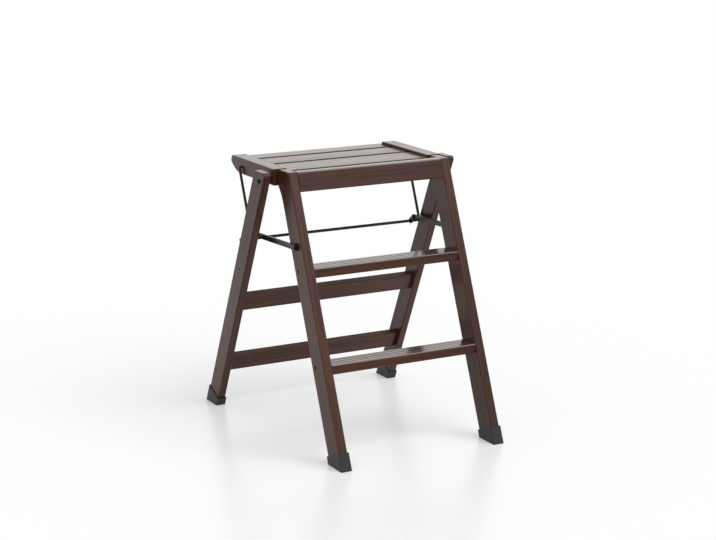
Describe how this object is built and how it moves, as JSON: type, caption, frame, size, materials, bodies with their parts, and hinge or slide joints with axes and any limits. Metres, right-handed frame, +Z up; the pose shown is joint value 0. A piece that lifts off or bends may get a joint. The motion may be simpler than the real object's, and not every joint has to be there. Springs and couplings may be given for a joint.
{
  "type": "folding step stool",
  "caption": "Folding timber step stool with a slatted seat, grooved treads between leaning stiles, and rear legs that fold in on linked spreader bars.",
  "frame": {"origin": "on the floor, at the middle of the footprint of the open stool", "axes": "+Z up, front with the treads faces -Y, +X to the right seen from the front"},
  "size_m": [0.5498, 0.6934, 0.681],
  "materials": {
    "stained_wood": "dark red-brown stain under a gloss lacquer",
    "dowel_wood": "plain hardwood",
    "black_plastic": "moulded, fine texture",
    "black_steel": "black, semi-gloss",
    "zinc_steel": "bright zinc plate"
  },
  "bodies": {
    "front_frame": {"front_stile_left": "stained_wood", "front_stile_right": "stained_wood", "upper_tread": "stained_wood", "lower_tread": "stained_wood", "front_top_rail": "stained_wood", "front_foot_left": "black_plastic", "front_foot_right": "black_plastic", "tread_screws": "black_steel", "tread_dowels": "dowel_wood", "front_rail_dowels": "dowel_wood", "seat_pivot_bolts": "zinc_steel", "seat_pivot_washers": "zinc_steel", "spreader_pivot_pins": "black_steel", "spreader_washers": "black_steel"},
    "seat": {"seat_rail_left": "stained_wood", "seat_rail_right": "stained_wood", "seat_slat_front": "stained_wood", "seat_slat_middle": "stained_wood", "seat_slat_rear": "stained_wood", "seat_cleat_left": "stained_wood", "seat_cleat_right": "stained_wood", "slat_screws": "zinc_steel", "cleat_screws": "zinc_steel", "leg_pivot_bolts": "black_steel", "leg_spacers": "black_plastic"},
    "spreader_frame": {"spreader_left": "black_steel", "spreader_right": "black_steel", "cross_rod": "black_steel"},
    "link_rods": {"link_rod_left": "black_steel", "link_rod_right": "black_steel", "link_clips": "black_steel"},
    "rear_frame": {"rear_leg_left": "stained_wood", "rear_leg_right": "stained_wood", "rear_upper_rail": "stained_wood", "rear_lower_rail": "stained_wood", "rear_foot_left": "black_plastic", "rear_foot_right": "black_plastic", "rear_rail_dowels": "dowel_wood", "leg_plugs": "black_plastic"}
  },
  "joints": [
    {"name": "seat_fold", "type": "hinge", "parent": "front_frame", "child": "seat", "pos_m": [0, -0.04285, 0.668], "axis": [1, 0, 0], "range_deg": [0, 56]},
    {"name": "spreader_fold", "type": "hinge", "parent": "front_frame", "child": "spreader_frame", "pos_m": [0, -0.10878, 0.504], "axis": [1, 0, 0], "range_deg": [0, 56]},
    {"name": "link_swing", "type": "hinge", "parent": "seat", "child": "link_rods", "pos_m": [0, 0.17445, 0.659], "axis": [1, 0, 0], "range_deg": [-56, 0]},
    {"name": "rear_fold", "type": "hinge", "parent": "seat", "child": "rear_frame", "pos_m": [0, 0.00595, 0.651], "axis": [1, 0, 0], "range_deg": [-100.2, 0]}
  ],
  "couplings": [
    {"joint": "spreader_fold", "follows": "seat_fold", "ratio": 1},
    {"joint": "link_swing", "follows": "seat_fold", "ratio": -1},
    {"joint": "rear_fold", "follows": "seat_fold", "ratio": -1.789}
  ]
}
